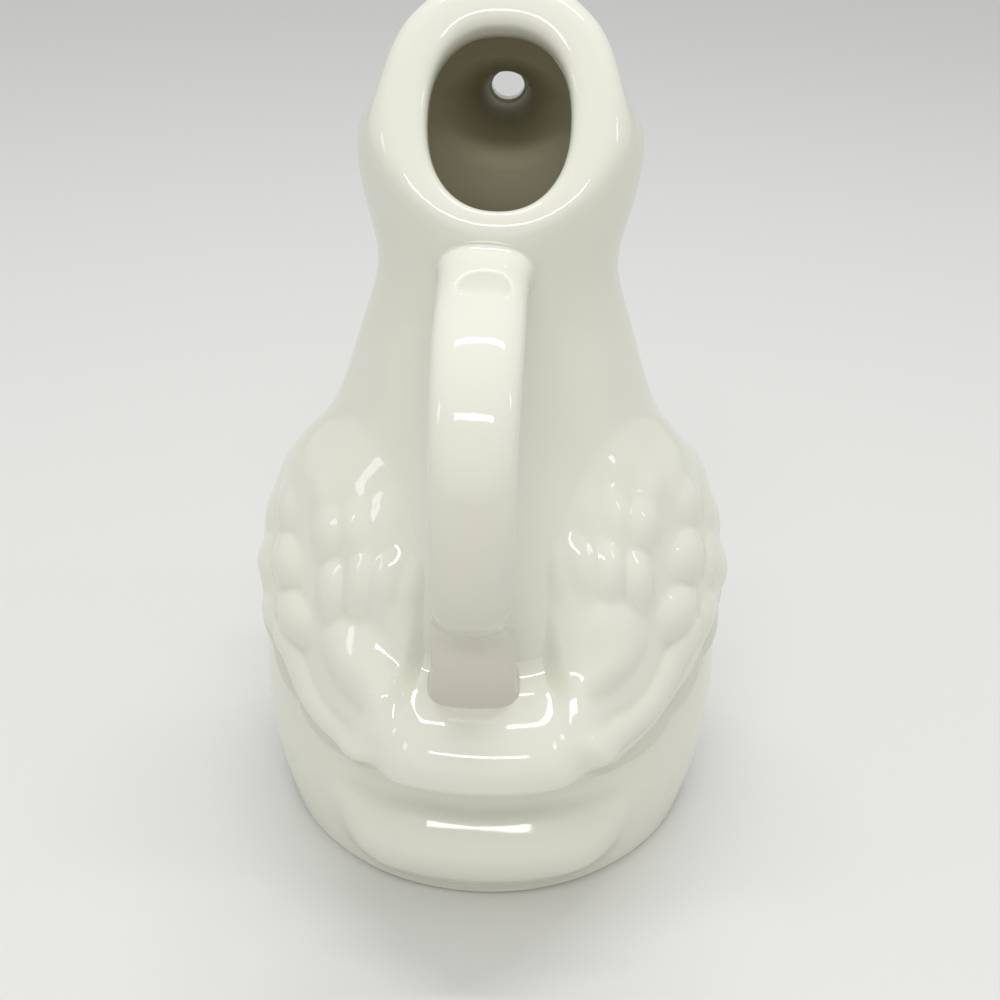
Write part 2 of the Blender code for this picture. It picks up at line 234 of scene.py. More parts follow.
# Tail: y and z down its middle, and where its sides begin and end to fall off, in degrees
TAIL = (
    (-35.9, 57.0), (-37.6, 52.6), (-39.3, 48.6), (-42.0, 46.2), (-45.4, 45.2), (-48.0, 44.5),
    (-50.3, 43.5), (-52.3, 42.1), (-53.8, 40.4), (-54.6, 38.4), (-54.5, 36.2), (-52.8, 34.6),
    (-50.0, 33.4), (-46.5, 31.8), (-43.6, 29.6), (-41.9, 27.0),
)
TAIL_SIDES = (
    (6.0, 27.0), (7.5, 29.5), (10.0, 32.5), (13.0, 35.0), (15.5, 37.5), (17.0, 39.0), (17.0, 39.0),
)
TAIL_TOP = 57.0
TAIL_FOOT = 27.0
TAIL_REACH = 48.0
TAIL_COLUMNS = 160
TAIL_ROWS = 110
# Share of the tail, from its top, that the handle can stand on, and points that it is read at
TAIL_SEAT = 0.57
SEAT_SAMPLES = 70

# Tail and wings: height they start from over the skin, how far their borders go under it, slab below
PATCH_LIFT = 0.03
PATCH_UNDER = 0.35
PATCH_SLAB = 1.4

# Wings: edges on the skin as angle in degrees and height
WING_UPPER = (
    (114.0, 62.0), (100.0, 72.0), (82.0, 79.0), (64.0, 81.5), (47.0, 81.0), (31.0, 77.0),
    (18.0, 69.0), (11.5, 57.0), (11.0, 43.0),
)
WING_LOWER = (
    (116.0, 57.0), (106.0, 47.0), (92.0, 41.6), (77.0, 38.8), (63.0, 35.6), (50.0, 31.4),
    (37.0, 27.2), (26.0, 25.6), (13.0, 26.4),
)
WING_STEPS = 200
WING_ROWS = 110
# Swell of the wing, and the distances from the upper edge over which it and the relief come in
WING_PLUMP = 2.3
WING_PLUMP_TOP = (0, 19)
WING_RELIEF_TOP = (0, 7)
# Distances from the front and from the back over which the wing comes in
WING_FRONT = (0, 12)
WING_BACK = (0, 10)
# The coverts step down to a ledge of flight feathers: its height, the share of it that their tips add,
# the distance from the back over which it comes in, and the step's distance from the lower edge and
# softness
WING_LEDGE = 1.9
WING_LEDGE_TIPS = 0.2
WING_LEDGE_BACK = (2, 24)
WING_STEP_UP = 5.2
WING_STEP_SOFT = 1.0
# The lower edge turns under over a lip, with notches between the tips: their pitch, depth and
# roundness, and the distance from the back over which they come in
WING_LIP = 1.2
WING_TIPS = 12.0
WING_NOTCH = 1.2
WING_NOTCH_ROUND = 0.6
WING_NOTCH_BACK = (14, 34)
# The wings lie part of the way up the sides of the tail, over these angles, and run into it. Where it
# stands higher than they do, by these shares of its rise, they sink into it.
WING_DRAPE = 0.32
WING_DRAPE_SIDE = (14.0, 54.0)
WING_BLEND = 0.8
WING_COVERED = (0.1, 0.6)
WING_SUNK = 0.12
# Share of the thick tone painted on the ledge below the coverts as shade
WING_PAINTED_SHADE = 0.55

# Feather lobes: angle, height, half width, half height, turn in degrees, how far it stands up
LOBES = (
    (51.0, 49.4, 5.6, 4.8, 0, 1.3),
    (59.5, 56.0, 5.6, 4.9, 0, 1.3),
    (69.5, 62.6, 5.6, 5.0, 0, 1.05),
    (74.0, 69.0, 13.0, 9.0, 0, 0.7),
    (63.0, 44.6, 4.6, 3.6, 0, 0.75),
    (72.5, 51.0, 5.0, 4.8, 0, 0.9),
    (82.0, 57.4, 5.0, 4.8, 0, 0.9),
    (94.0, 61.0, 11.0, 9.0, 0, 0.7),
    (81.5, 46.0, 4.6, 4.4, 0, 0.8),
    (92.0, 52.0, 4.6, 4.6, 0, 0.75),
    (29.5, 50.6, 7.2, 6.2, 0, 1.35),
    (39.5, 57.4, 3.3, 5.0, -8, 0.95),
    (32.0, 60.0, 2.6, 5.0, -5, 0.75),
    (25.0, 62.2, 2.4, 4.8, 0, 0.65),
    (18.6, 62.4, 2.0, 4.4, 0, 0.45),
    (46.5, 65.0, 3.8, 4.8, -10, 0.9),
    (38.5, 68.0, 2.8, 4.8, -8, 0.65),
    (31.0, 70.2, 2.4, 4.4, -5, 0.4),
    (54.5, 69.4, 3.8, 4.4, -12, 0.7),
    (52.0, 74.0, 9.0, 6.0, 0, 0.5),
)
# Softness of the creases between them, the depth below which a lobe no longer counts, and how much the
# whole relief is raised
LOBE_SOFT = 0.2
LOBE_LOWEST = -6
LOBE_UP = 1.4
# The relief sits a little lower on the left wing than on the right
WING_DROP = {-1: 2.2, 1: -0.9}
# Long feather that sweeps round below the lobes: angle and height along it, half width and height
SWEEP = ((54.0, 44.6), (48.0, 42.6), (42.0, 38.8), (34.0, 36.8), (26.5, 37.4), (20.0, 38.6))
SWEEP_HALF = 3.4
SWEEP_UP = 1.05
SWEEP_SAMPLES = 90

# Glaze outside: cool, warm and thick tone, the thick one partly glaze pooled in the hollows and partly
# painted shade; and the painted shade low on the strap, darker towards its foot, between these heights in
# metres
TONES = ((0.752, 0.752, 0.655, 1), (0.772, 0.760, 0.660, 1), (0.570, 0.582, 0.462, 1))
GLAZE_PAINTED_SHADE = (0.620, 0.606, 0.516, 1)
PAINTED_SHADE_HEIGHTS = (0.050, 0.094)
# Glaze inside: the same three tones, warmer and darker than outside; the darkness is painted shade in the
# hollow
TONES_INSIDE_SHADED = ((0.610, 0.572, 0.412, 1), (0.640, 0.590, 0.417, 1), (0.540, 0.510, 0.360, 1))
# Bare clay of the foot ring, and the heights in metres over which the glaze begins
CLAY = (0.74, 0.70, 0.62, 1)
BARE = (0.0002, 0.0006)
# Noise as scale and detail, and the part of its range that is used, for the clouds and for the gloss
CLOUD = (24, 2)
CLOUD_RANGE = (0.35, 0.65)
SMEAR = (60, 3)
SMEAR_RANGE = (0.3, 0.7)
# Roughness from smooth to dull, specular level and refraction
GLOSS = (0.035, 0.085)
GLOSS_INSIDE = (0.50, 0.65)
SHINE = 0.5
SHINE_INSIDE = 0.2
IOR = 1.5
# Pointiness from hollow to flat, over which the thick tone fades out: partly glaze pooled in the creases,
# partly painted shade
HOLLOW = (0.45, 0.497)
# Bumps as noise and height in metres
WAVE = ((75, 1), 0.00016)
PEEL = ((900, 2), 0.000006)

# Camera, in metres and millimetres of film
CAMERA_PLACE = (0.00614, -0.21264, 0.1795)
CAMERA_DOWN = math.radians(29.31)
CAMERA_ROLL = math.radians(1.26)
CAMERA_TURN = math.radians(1.3)
CAMERA_LENS = 50.184
CAMERA_FILM = 36
CAMERA_NEAR = 0.01

# Studio: floor, sky as light and as seen, and lamps as name, place, aim, size and power
STAGE_PALE = (0.73, 0.73, 0.70, 1)
STAGE_ROUGH = 0.6
STAGE_HALF = 4
SKY = (0.98, 0.99, 1.0, 1)
SKY_LIGHT = 0.65
SKY_SEEN = 0.70
LAMPS = (
    ("key", (0.03, 0.10, 0.76), (0, 0, 0.07), (0.55, 0.04), 2.0),
    ("fill", (-0.02, -0.50, 0.66), (0, 0, 0.07), (0.50, 0.05), 1.1),
    ("front", (-0.15, -0.95, 0.40), (0, 0, 0.09), (0.80, 0.50), 0.25),
    ("left", (-0.60, -0.20, 0.45), (0, 0, 0.07), (0.10, 0.12), 0.14),
    ("right", (0.60, -0.12, 0.50), (0, 0, 0.07), (0.06, 0.12), 0.12),
)
# A lamp whose direction is upright by more than this share has its sides laid out from y, not from z
STEEP = 0.98


def step(low, high, value):
    """0 below low, 1 above high, smooth between."""
    u = np.clip((np.asarray(value, float) - low) / (high - low), 0, 1)
    return u**3 * (u * (6 * u - 15) + 10)


def spline(rows, places):
    """Natural cubic curve through the rows, at places counted in rows."""
    rows = np.asarray(rows, float)
    count = len(rows)
    bend = np.zeros_like(rows)
    system = 4 * np.eye(count - 2) + np.eye(count - 2, k=1) + np.eye(count - 2, k=-1)
    bend[1:-1] = np.linalg.solve(system, 6 * (rows[:-2] - 2 * rows[1:-1] + rows[2:]))
    places = np.clip(np.asarray(places, float), 0, count - 1)
    k = np.minimum(places.astype(int), count - 2)
    f = (places - k)[..., None]
    g = 1 - f
    return g * rows[k] + f * rows[k + 1] + ((g**3 - g) * bend[k] + (f**3 - f) * bend[k + 1]) / 6


def unit(v):
    """Vectors brought to length 1."""
    return v / np.linalg.norm(v, axis=-1, keepdims=True)


# The crown closes smoothly because the sections go on, mirrored, beyond it
BEYOND = [(z, -half, back, front) for z, half, front, back in SECTIONS[-2 : -2 - MIRRORED : -1]]
SKIN = spline([*SECTIONS, *BEYOND], np.linspace(0, len(SECTIONS) - 1, SKIN_SAMPLES))
ROLL = np.maximum(spline(RUMP, np.linspace(0, len(RUMP) - 1, ROLL_SAMPLES)), 0)
# Angles of the points on a ring of the body
PHI = np.linspace(0, TAU, ROUND, endpoint=False)


def section(z):
    """Half width, middle and half length of the skin at a height."""
    half, front, back = (np.interp(z, SKIN[:, 0], SKIN[:, k]) for k in (1, 2, 3))
    return half, (front + back) / 2, (front - back) / 2


def skin(angle, z, grow=0.0, relief=True):
    """Points of the skin, moved out by grow, with or without the roll under the tail."""
    half, middle, length = section(z)
    out = grow
    if relief:
        off = np.abs(np.degrees(np.remainder(angle + math.pi, TAU) - math.pi))
        out = out + np.interp(z, ROLL[:, 0], ROLL[:, 1]) * (1 - step(*RUMP_SIDE, off))
    x = (half + out) * np.sin(angle)
    y = middle - (length + out) * np.cos(angle)
    return np.stack(np.broadcast_arrays(x, y, z), -1)


def skin_frame(angle, z):
    """Points of the skin and their outward directions."""
    across = skin(angle + PROBE_TURN, z) - skin(angle - PROBE_TURN, z)
    upward = skin(angle, z + PROBE_RISE) - skin(angle, z - PROBE_RISE)
    return skin(angle, z), unit(np.cross(across, upward))


def skin_level(p, grow=0.0):
    """Below 0 inside the skin, and close to millimetres."""
    half, middle, length = section(p[..., 2])
    half = np.maximum(half + grow, LEAST_HALF)
    length = np.maximum(length + grow, LEAST_HALF)
    return (np.hypot(p[..., 0] / half, (p[..., 1] - middle) / length) - 1) * np.minimum(half, length)


def lining_level(p):
    """Below 0 in the hollow, and close to millimetres."""
    return skin_level(p, -WALL)


def slope(level, p):
    """How fast level rises along x, y and z."""
    parts = []
    for k in range(3):
        d = np.zeros(3)
        d[k] = PROBE
        parts.append((level(p + d) - level(p - d)) / (2 * PROBE))
    return np.stack(parts, -1)


def settle(level, p):
    """Points moved onto the surface where level is 0."""
    for _ in range(SETTLE_TRIES):
        g = slope(level, p)
        p = p - (level(p) / np.maximum((g * g).sum(-1), LEAST_SLOPE))[..., None] * g
    return p


def crossing(level, start, direction):
    """First point along each ray where level turns from its sign at the start."""
    low = np.zeros(len(start))
    high = np.full(len(start), RAY_REACH)
    sign = np.sign(level(start))
    for t in np.linspace(0, RAY_REACH, RAY_SAMPLES)[1:]:
        same = np.sign(level(start + t * direction)) == sign
        ahead = same & (low < t) & (high == RAY_REACH)
        low = np.where(ahead, t, low)
        high = np.where(~same & (high == RAY_REACH), t, high)
    for _ in range(HALVINGS):
        middle = (low + high) / 2
        same = np.sign(level(start + middle[:, None] * direction)) == sign
        low = np.where(same, middle, low)
        high = np.where(same, high, middle)
    return start + low[:, None] * direction


def bezier(a, b, c, d, count):
    """Rows from a, left out, to d."""
    rows = []
    for t in np.linspace(0, 1, count + 1)[1:]:
        s = 1 - t
        rows.append(s**3 * a + 3 * s * s * t * b + 3 * s * t * t * c + t**3 * d)
    return rows


def landing(
    level, ring, direction, radius, count, lead=None, outward=1.0, pull=LANDING_PULL, lift=LANDING_LIFT
):
    """Fillet rows from a strap's end ring onto a surface, and a row that hides below it.

    The rows leave the ring along lead, where it is given, so that they run on from the strap.
    """
    foot = crossing(level, ring, direction)
    normal = unit(slope(level, foot)) * outward
    away = ring - ring.mean(0)
    away = away - (away @ direction)[:, None] * direction
    away = unit(away)
    tangent = unit(away - (away * normal).sum(-1, keepdims=True) * normal)
    radius = np.reshape(radius, (-1, 1))
    edge = settle(level, foot + tangent * radius)
    normal = unit(slope(level, edge)) * outward
    tangent = unit(tangent - (tangent * normal).sum(-1, keepdims=True) * normal)
    edge = edge + normal * lift
    drop = np.linalg.norm(foot - ring, axis=-1, keepdims=True)
    lead = direction if lead is None else lead
    rows = bezier(ring, ring + lead * drop * pull, edge - tangent * radius * pull, edge, count)
    rows.append(edge - normal * HIDE_DEEP + tangent * HIDE_OUT)
    return rows


def rounded(angle, square):
    """Cosine and sine bent towards a rounded rectangle."""
    c, s = np.cos(angle), np.sin(angle)
    return np.sign(c) * np.abs(c) ** (2 / square), np.sign(s) * np.abs(s) ** (2 / square)


def strap(stations, places, around, square):
    """Rings along a middle line in the plane x = 0, with their directions."""
    line = spline(stations, places)
    ahead = spline(stations, places + PROBE_PLACE) - spline(stations, places - PROBE_PLACE)
    ahead = unit(ahead[:, :2])
    turn = np.linspace(0, TAU, around, endpoint=False)
    rings = []
    for (y, z, w, t), (ay, az), corner in zip(line, ahead, np.broadcast_to(square, len(line))):
        wide, thick = rounded(turn, corner)
        lift = t * thick
        rings.append(np.stack([w * wide, y - az * lift, z + ay * lift], -1))
    return rings, np.stack([0 * ahead[:, 0], ahead[:, 0], ahead[:, 1]], -1)


def tip_rings(stations, tip, around, square, count):
    """The rounded end beyond a strap's last station."""
    rings = []
    y, z, w, t = stations[-1]
    end = len(stations) - 1.0
    last = spline(stations, np.array([end - PROBE_PLACE, end]))
    ay, az = unit(last[1, :2] - last[0, :2])
    wide, thick = rounded(np.linspace(0, TAU, around, endpoint=False), square)
    long, narrower, thinner = tip
    for bend in np.linspace(0, QUARTER, count + 1)[1:]:
        ahead = long * math.sin(bend)
        less = 1 - math.cos(bend)
        lift = (t - less * thinner) * thick
        side = (w - less * narrower) * wide
        rings.append(np.stack([side, y + ay * ahead - az * lift, z + az * ahead + ay * lift], -1))
    return rings


def grid_faces(rows, columns, wrap_rows=False, wrap_columns=True):
    """Quads between rows of points, as point numbers."""
    i = np.arange(rows if wrap_rows else rows - 1)[:, None]
    j = np.arange(columns if wrap_columns else columns - 1)[None, :]
    i2, j2 = (i + 1) % rows, (j + 1) % columns
    corners = np.broadcast_arrays(i * columns + j, i * columns + j2, i2 * columns + j2, i2 * columns + j)
    return np.stack(corners, -1).reshape(-1, 4)


def fan_faces(ring, pole):
    """Triangles from a ring to a pole, as point numbers."""
    return [(int(ring[k]), int(ring[(k + 1) % len(ring)]), pole) for k in range(len(ring))]


def solid(name, points, faces):
    """An object from points in millimetres, its faces turned outwards."""
    points = (np.asarray(points, float) + [0, ORIGIN_SHIFT, 0]) * MM
    mesh = bpy.data.meshes.new(name)
    mesh.from_pydata(points.tolist(), [], [tuple(int(k) for k in f) for f in faces])
    shape = bmesh.new()
    shape.from_mesh(mesh)
    bmesh.ops.recalc_face_normals(shape, faces=shape.faces)
    shape.to_mesh(mesh)
    shape.free()
    mesh.shade_smooth()
    made = bpy.data.objects.new(name, mesh)
    bpy.context.scene.collection.objects.link(made)
    return made


def cut(made, cutter):
    """Take the cutter's shape out of a piece."""
    change = made.modifiers.new("cut", "BOOLEAN")
    change.operation = "DIFFERENCE"
    change.solver = "EXACT"
    change.object = cutter
    view = bpy.context.evaluated_depsgraph_get()
    mesh = bpy.data.meshes.new_from_object(made.evaluated_get(view))
    made.modifiers.remove(change)
    made.data = mesh
    bpy.data.objects.remove(cutter)


def make(name, points, faces, node, materials, hole=None, lined=()):
    """A closed piece which stands for a node, with the second material on the lined faces."""
    made = solid(name, points, faces)
    for k in lined:
        made.data.polygons[k].material_index = 1
    for material in materials:
        made.data.materials.append(material)
    if hole is not None:
        cut(made, solid("hole", *hole))
    made.data.set_sharp_from_angle(angle=SHARP)
    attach(made, "root")
    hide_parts(node)
    return made


def capped(rings):
    """Points and faces of rings closed by a pole at each end."""
    around = len(rings[0])
    points = np.concatenate([*rings, [rings[0].mean(0)], [rings[-1].mean(0)]])
    faces = grid_faces(len(rings), around).tolist()
    last = (len(rings) - 1) * around
    faces += fan_faces(np.arange(around), len(points) - 2)
    faces += fan_faces(last + np.arange(around), len(points) - 1)
    return points, faces


def bill_line(rings, turn, shown):
    """Rings with the line between the bill's halves pressed in, each by its shown share."""
    line, width, depth = BILL_LINE
    groove = np.exp(-(((np.remainder(turn + math.pi, TAU) - math.pi - line) / width) ** 2))
    groove += np.exp(-(((np.remainder(turn, TAU) - math.pi + line) / width) ** 2))
    pressed = []
    for ring, share in zip(rings, shown):
        inward = unit(ring.mean(0) - ring)
        pressed.append(ring + inward * (depth * share * groove)[:, None])
    return pressed


def nostrils(rings):
    """Rings with a dent on each side of the bill's top."""
    place, side, long, wide, deep = NOSTRIL
    middle = spline(BILL, np.array(place))
    dented = []
    for ring in rings:
        across = (np.abs(ring[:, 0]) - side * middle[2]) / wide
        along = (ring[:, 1] - middle[0]) / long
        dent = deep * np.exp(-(across**2 + along**2) ** 2) * (ring[:, 2] > ring[:, 2].mean())
        dented.append(ring - dent[:, None] * AXIS_Z)
    return dented


def bore_rings(turn):
    """Rings of the bore from the tip of the bill to the shoulder behind it."""
    c, s = np.cos(turn), np.sin(turn)
    rings = []
    for y in np.linspace(BILL[-1][0] + BILL_TIP[0], BORE_START, BORE_ROWS):
        rings.append(np.stack([BORE[0] * c, 0 * turn + y, BORE_LEVEL + BORE[1] * s], -1))
    shoulder, deep = BORE_SHOULDER
    rings.append(rings[-1] + np.stack([shoulder * c, 0 * turn - deep, shoulder * s], -1))
    return rings


def funnel_rings(turn, start):
    """Rings of the funnel from the bore's shoulder to the head's lining."""
    c, s = np.cos(turn), np.sin(turn)
    beside, above, below = BORE_FLARE
    flare = 1 / np.hypot(c / beside, s / np.where(s > 0, above, below))
    rising = unit(np.array([0.0, -1.0, BORE_RISE]))
    return landing(
        lining_level, start, rising, flare, FUNNEL_ROWS, outward=-1.0, pull=FUNNEL_PULL, lift=FUNNEL_LIFT
    )


def bill_rings():
    """Rows of the bill: root on the head, outside with the tip, bore and funnel."""
    turn = np.linspace(0, TAU, BILL_ROUND, endpoint=False)
    places = np.linspace(*BILL_SHOWN, BILL_ROWS)
    outer, _ = strap(BILL, places, BILL_ROUND, BILL_SQUARE)
    chin = np.maximum(-np.sin(turn), 0) ** 2
    fillet = BILL_ROOT[0] + BILL_ROOT[1] * chin
    root = landing(skin_level, outer[0], -AXIS_Y, fillet, ROOT_ROWS, unit(outer[0] - outer[1]))
    tip = tip_rings(BILL, BILL_TIP, BILL_ROUND, BILL_SQUARE, BILL_TIP_ROWS)
    starts = step(*BILL_LINE_STARTS, places)
    ends = 1 - step(*BILL_LINE_ENDS, np.linspace(0, 1, BILL_TIP_ROWS))
    outside = nostrils(bill_line(outer + tip, turn, [*starts, *ends]))
    bore = bore_rings(turn)
    return root[::-1], outside, bore, funnel_rings(turn, bore[-1])


def bill(glazed, lining):
    """The bill, with the lining's glaze in its funnel."""
    root, outside, bore, funnel = bill_rings()
    rings = root + outside + bore + funnel
    faces = grid_faces(len(rings), BILL_ROUND, wrap_rows=True)
    lined = range((len(rings) - len(funnel)) * BILL_ROUND, len(faces))
    make("duck_bill", np.concatenate(rings), faces, "bill_spout", (glazed, lining), lined=lined)


def shrunk(ring, less):
    """A ring made smaller across the bill."""
    away = (ring - ring.mean(0)) * [1, 0, 1]
    return ring - unit(away) * less


def passage_rings():
    """The hole in the front of the head, between the edges of the bill's root and funnel."""
    root, _, _, funnel = bill_rings()
    inner = shrunk(funnel[-2], PASSAGE_INSIDE)
    outer = shrunk(root[1], PASSAGE_OUTSIDE)
    past = PASSAGE_PAST * AXIS_Y
    return [inner - past, inner, outer, outer + past]


def mouth_ring(wider, height):
    """Outline of the fill opening, made wider by millimetres and moved along its axis."""
    turn = PHI - QUARTER
    side, rise = rounded(turn, MOUTH_SQUARE[0] + MOUTH_SQUARE[1] * np.sin(turn))
    side, rise = side * (MOUTH_WIDE + wider), rise * (MOUTH_HIGH + wider)
    return MOUTH + side[:, None] * AXIS_X + rise[:, None] * MOUTH_UP + height * MOUTH_OUT


def head_rings(angles, grow):
    """Rings of the head where the planes through the hinge meet the skin."""
    half, middle, length = section(NECK)
    share = (np.asarray(angles) / FAN_END)[:, None, None]
    along = np.stack([0 * angles, np.cos(angles), np.sin(angles)], -1)[:, None, :]
    far = np.linalg.norm(MOUTH - HINGE)
    centre = HINGE + along * ((middle - HINGE[1]) * (1 - share) + far * share)
    wide = half * (1 - share) + MOUTH_WIDE * share
    high = length * (1 - share) + MOUTH_HIGH * share
    ray = wide * np.sin(PHI)[None, :, None] * AXIS_X - high * np.cos(PHI)[None, :, None] * along
    low = np.zeros(ray.shape[:2])
    top = np.full(ray.shape[:2], FAN_REACH)
    for _ in range(HALVINGS):
        t = (low + top) / 2
        inside = skin_level(centre + t[..., None] * ray, grow) < 0
        low = np.where(inside, t, low)
        top = np.where(inside, top, t)
    return centre + low[..., None] * ray


def foot_rows():
    """Recess under the foot, and the foot's rounded edge."""
    rows = []
    for radius, z in RECESS_PROFILE:
        rows.append(np.stack([radius * np.sin(PHI), -radius * np.cos(PHI), 0 * PHI + z], -1))
    for bend in np.linspace(0, QUARTER, FOOT_ROWS)[:-1]:
        ring = skin(PHI, FOOT_EDGE, -FOOT_EDGE * (1 - math.sin(bend)))
        ring[:, 2] = FOOT_EDGE * (1 - math.cos(bend))
        rows.append(ring)
    return rows


def mouth_rows(before, last):
    """Shoulder and lip of the opening, which run on from the last two rows of the head."""
    turn = unit(last - before)
    lip = MOUTH_LIP - LIP_NAPE * np.maximum(np.cos(PHI), 0) ** 2
    crest = mouth_ring(lip, 0.0)
    inward = unit(mouth_ring(0.0, 0.0) - crest)
    far = np.linalg.norm(crest - last, axis=-1, keepdims=True)
    leave = last + turn * far * SHOULDER_PULL
    meet = crest - inward * far * (LIP_PULL[0] + LIP_PULL[1] * np.sin(PHI) ** 2)[:, None]
    rows = bezier(last, leave, meet, crest, SHOULDER_ROWS)
    for bend in np.linspace(0, QUARTER, LIP_ROWS)[1:]:
        level, across = rounded(bend, LIP_SQUARE)
        rows.append(mouth_ring(lip * (1 - across), LIP_DEEP * (level - 1)))
    return rows


def lining_rows(last, fan):
    """Throat from the last row of the lip, then the lining of the head and the torso, and the floor."""
    head = list(head_rings(fan[fan < FAN_LINING][::2], -WALL))[::-1]
    pull = np.linalg.norm(head[0] - last, axis=-1, keepdims=True) * THROAT_PULL
    meet = head[0] - unit(head[1] - head[0]) * pull
    rows = bezier(last, last - MOUTH_OUT * pull, meet, head[0], THROAT_ROWS)[:-1]
    rows += head
    corner = FLOOR + FLOOR_CORNER
    rows += [skin(PHI, z, -WALL, False) for z in np.linspace(NECK, corner, LINING_ROWS)[1:]]
    for bend in np.linspace(0, QUARTER, CORNER_ROWS)[1:]:
        ring = skin(PHI, corner, -WALL - FLOOR_CORNER * (1 - math.cos(bend)), False)
        ring[:, 2] = FLOOR + FLOOR_CORNER * (1 - math.sin(bend))
        rows.append(ring)
    flat = rows[-1]
    rows += [flat.mean(0) + (flat - flat.mean(0)) * share for share in FLOOR_RINGS]
    return rows


def eyes(points, count):
    """Rows of points with the eyes on the first count of them, low beads in a fine groove."""
    outside = (np.arange(len(points)) < count)[:, None]
    away, width, deep = EYE_GROOVE
    for side in (-1, 1):
        place, out = skin_frame(np.array(EYE_ANGLE * side), np.array(EYE_LEVEL))
        gap = np.linalg.norm(points - place, axis=-1) / EYE_RADIUS
        bead = EYE_BEAD * np.clip(1 - gap**2, 0, 1) ** EYE_DOME
        groove = deep * np.exp(-(((gap - away) / width) ** 2))
        points = points + ((bead - groove) * outside)[..., None] * out
    return points


def body(glazed, lining):
    """The hollow torso, neck and head, with the passage to the bill cut out."""
    rows = foot_rows()
    rows += [skin(PHI, z) for z in np.linspace(FOOT_EDGE, NECK, TORSO_ROWS)[:-1]]
    fan = np.linspace(0, FAN_SKIN, FAN_STEPS)
    rows += list(head_rings(fan, 0.0))
    head_end = len(rows)
    rows += mouth_rows(rows[-2], rows[-1])
    lip_end = len(rows)
    rows += lining_rows(rows[-1], fan)
    points = eyes(np.array(rows), head_end).reshape(-1, 3)
    poles = np.array([[0, 0, RECESS], rows[-1].mean(0)])
    last = (len(rows) - 1) * ROUND
    faces = grid_faces(len(rows), ROUND).tolist()
    faces += fan_faces(np.arange(ROUND), len(points))
    faces += fan_faces(last + np.arange(ROUND), len(points) + 1)
    points = np.concatenate([points, poles])
    hole = capped(passage_rings())
    lined = range(lip_end * ROUND, last)
    make("duck_body", points, faces, "body_shell", (glazed, lining), hole, lined)


def paint_shade(made, shares):
    """Note at each point how much painted shade it takes."""
    layer = made.data.attributes.new("painted_shade", "FLOAT", "POINT")
    layer.data.foreach_set("value", np.asarray(shares, np.float32))


def patch(name, base, out, high, side, node, material):
    """A closed piece on the skin: a grid lifted off it by vectors, over a slab sunk into it."""
    mirror = np.array([side, 1, 1])
    rows, wide = base.shape[:2]
    outer = ((base + high) * mirror).reshape(-1, 3)
    inner = ((base - out * PATCH_SLAB) * mirror).reshape(-1, 3)
    quads = grid_faces(rows, wide, wrap_columns=False)
    faces = quads.tolist() + (quads[:, ::-1] + len(outer)).tolist()
    rim = list(range(wide))
    rim += [i * wide + wide - 1 for i in range(1, rows)]
    rim += [(rows - 1) * wide + j for j in range(wide - 2, -1, -1)]
    rim += [i * wide for i in range(rows - 2, 0, -1)]
    for a, b in zip(rim, rim[1:] + rim[:1]):
        faces.append((a, b, len(outer) + b, len(outer) + a))
    return make(name, np.concatenate([outer, inner]), faces, node, (material,))


def doubled(values):
    """The first and the last value come twice, so that a border can drop straight down."""
    return np.concatenate([values[:1], values, values[-1:]])


def tail_share(z):
    """How far down the tail a height of the skin is, from 0 to 1."""
    return (TAIL_TOP - np.clip(z, TAIL_FOOT, TAIL_TOP)) / (TAIL_TOP - TAIL_FOOT)


def tail_rise(z):
    """How far the middle of the tail stands off the skin at a height of the skin."""
    line = spline(TAIL, tail_share(z) * (len(TAIL) - 1))
    z = np.clip(z, TAIL_FOOT, TAIL_TOP)
    return np.stack([0 * z, line[..., 0] - skin(0 * z, z)[..., 1], line[..., 1] - z], -1)


def tail_here(angle, z):
    """Share of that rise which is left beside the middle."""
    sides = spline(TAIL_SIDES, tail_share(z) * (len(TAIL_SIDES) - 1))
    return 1 - step(sides[..., 0], sides[..., 1], np.abs(np.degrees(angle)))


def tail(material):
    """The fan of the tail, raised from the skin."""
    z = doubled(np.linspace(TAIL_TOP, TAIL_FOOT, TAIL_ROWS))[:, None]
    angle = np.radians(doubled(np.linspace(-TAIL_REACH, TAIL_REACH, TAIL_COLUMNS)))[None, :]
    angle, z = np.broadcast_arrays(angle, z)
    base, out = skin_frame(angle, z)
    high = tail_rise(z) * tail_here(angle, z)[..., None] + PATCH_LIFT * out
    for border in (np.s_[0, :], np.s_[-1, :], np.s_[:, 0], np.s_[:, -1]):
        high[border] = -PATCH_UNDER * out[border]
    patch("duck_tail", base, out, high, 1, "tail", material)


def seat_level(p):
    """Outside the skin and above the top of the tail, close to millimetres."""
    level = np.linspace(TAIL_TOP, TAIL_TOP + (TAIL_FOOT - TAIL_TOP) * TAIL_SEAT, SEAT_SAMPLES)[None, :]
    angle = np.arcsin(np.clip(p[..., 0] / section(p[..., 2])[0], -1, 1))[:, None]
    angle, level = np.broadcast_arrays(angle, level)
    top = skin(angle, level) + tail_rise(level) * tail_here(angle, level)[..., None]
    y, z = top[..., 1], top[..., 2]
    k = np.clip((z > p[:, 2:]).sum(1), 1, z.shape[1] - 1)
    row = np.arange(len(p))
    part = np.clip((z[row, k - 1] - p[:, 2]) / (z[row, k - 1] - z[row, k]), 0, 1)
    back = y[row, k - 1] * (1 - part) + y[row, k] * part
    return np.minimum(skin_level(p), back - p[:, 1])


